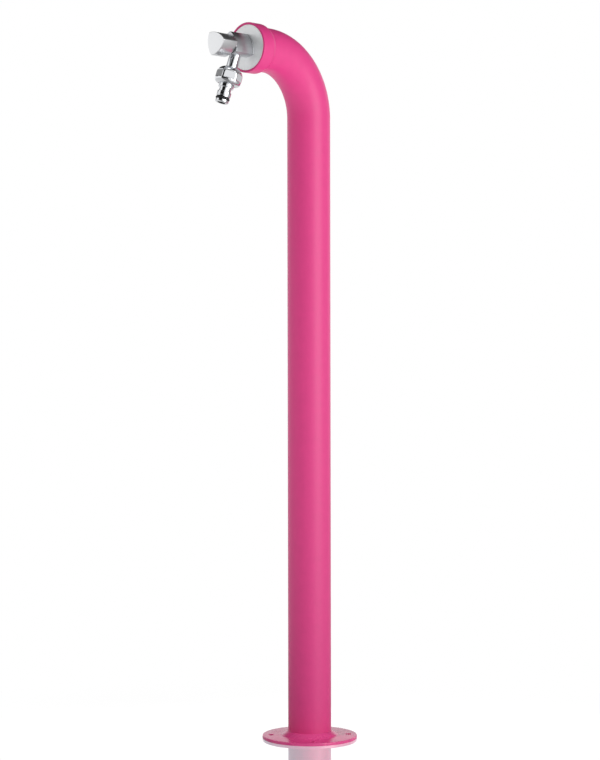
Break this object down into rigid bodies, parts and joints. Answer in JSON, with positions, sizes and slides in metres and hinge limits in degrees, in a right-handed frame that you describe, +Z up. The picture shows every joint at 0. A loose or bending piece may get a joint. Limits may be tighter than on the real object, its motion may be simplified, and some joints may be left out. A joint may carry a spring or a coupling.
{
  "type": "garden water post",
  "caption": "Garden water post: a painted tube on a round flange, bent over into a level head with a quarter-turn tap, a leaning spout and a quick-connect hose nipple.",
  "frame": {"origin": "centre of the base flange's underside, on the axis of the straight post", "axes": "+Z up along the post; the head and the tap point along -Y; +X is to the right of someone who faces the tap from the front"},
  "size_m": [0.132, 0.2508, 0.9838],
  "materials": {
    "paint": "satin powder coat",
    "satin_metal": "fine brushed",
    "chrome": "polished",
    "brass": "turned",
    "copper": "drawn tube",
    "rubber": "matte",
    "ceramic": "lapped",
    "plastic": "moulded",
    "steel": "plain"
  },
  "bodies": {
    "post": {"post_tube": "paint", "base_flange": "paint", "head_collar": "paint", "end_disc": "satin_metal", "disc_seal": "rubber", "tap_rosette": "chrome", "tap_gasket": "rubber", "tap_body": "chrome", "lock_washer": "brass", "lock_nut": "brass", "fixed_disc": "ceramic", "cartridge_seal": "rubber", "cartridge_body": "brass", "spout_tube": "chrome", "spout_ferrule": "chrome", "union_washer": "rubber", "union_nut": "chrome", "hose_nipple": "chrome", "nipple_o_ring": "rubber", "coupling_washer": "rubber", "pipe_collar": "brass", "coupling_nut": "brass", "supply_pipe": "copper", "pipe_spacers": "plastic", "inlet_holder": "plastic", "inlet_fitting": "brass", "inlet_ring": "copper", "inlet_nut": "brass"},
    "handle": {"handle": "chrome", "handle_screw": "steel", "spindle": "brass", "spindle_o_ring": "rubber", "spindle_clip": "steel", "moving_disc": "ceramic"}
  },
  "joints": [
    {"name": "handle_turn", "type": "hinge", "parent": "post", "child": "handle", "pos_m": [0, -0.1594, 0.95], "axis": [0, -1, 0], "range_deg": [0, 90]}
  ]
}
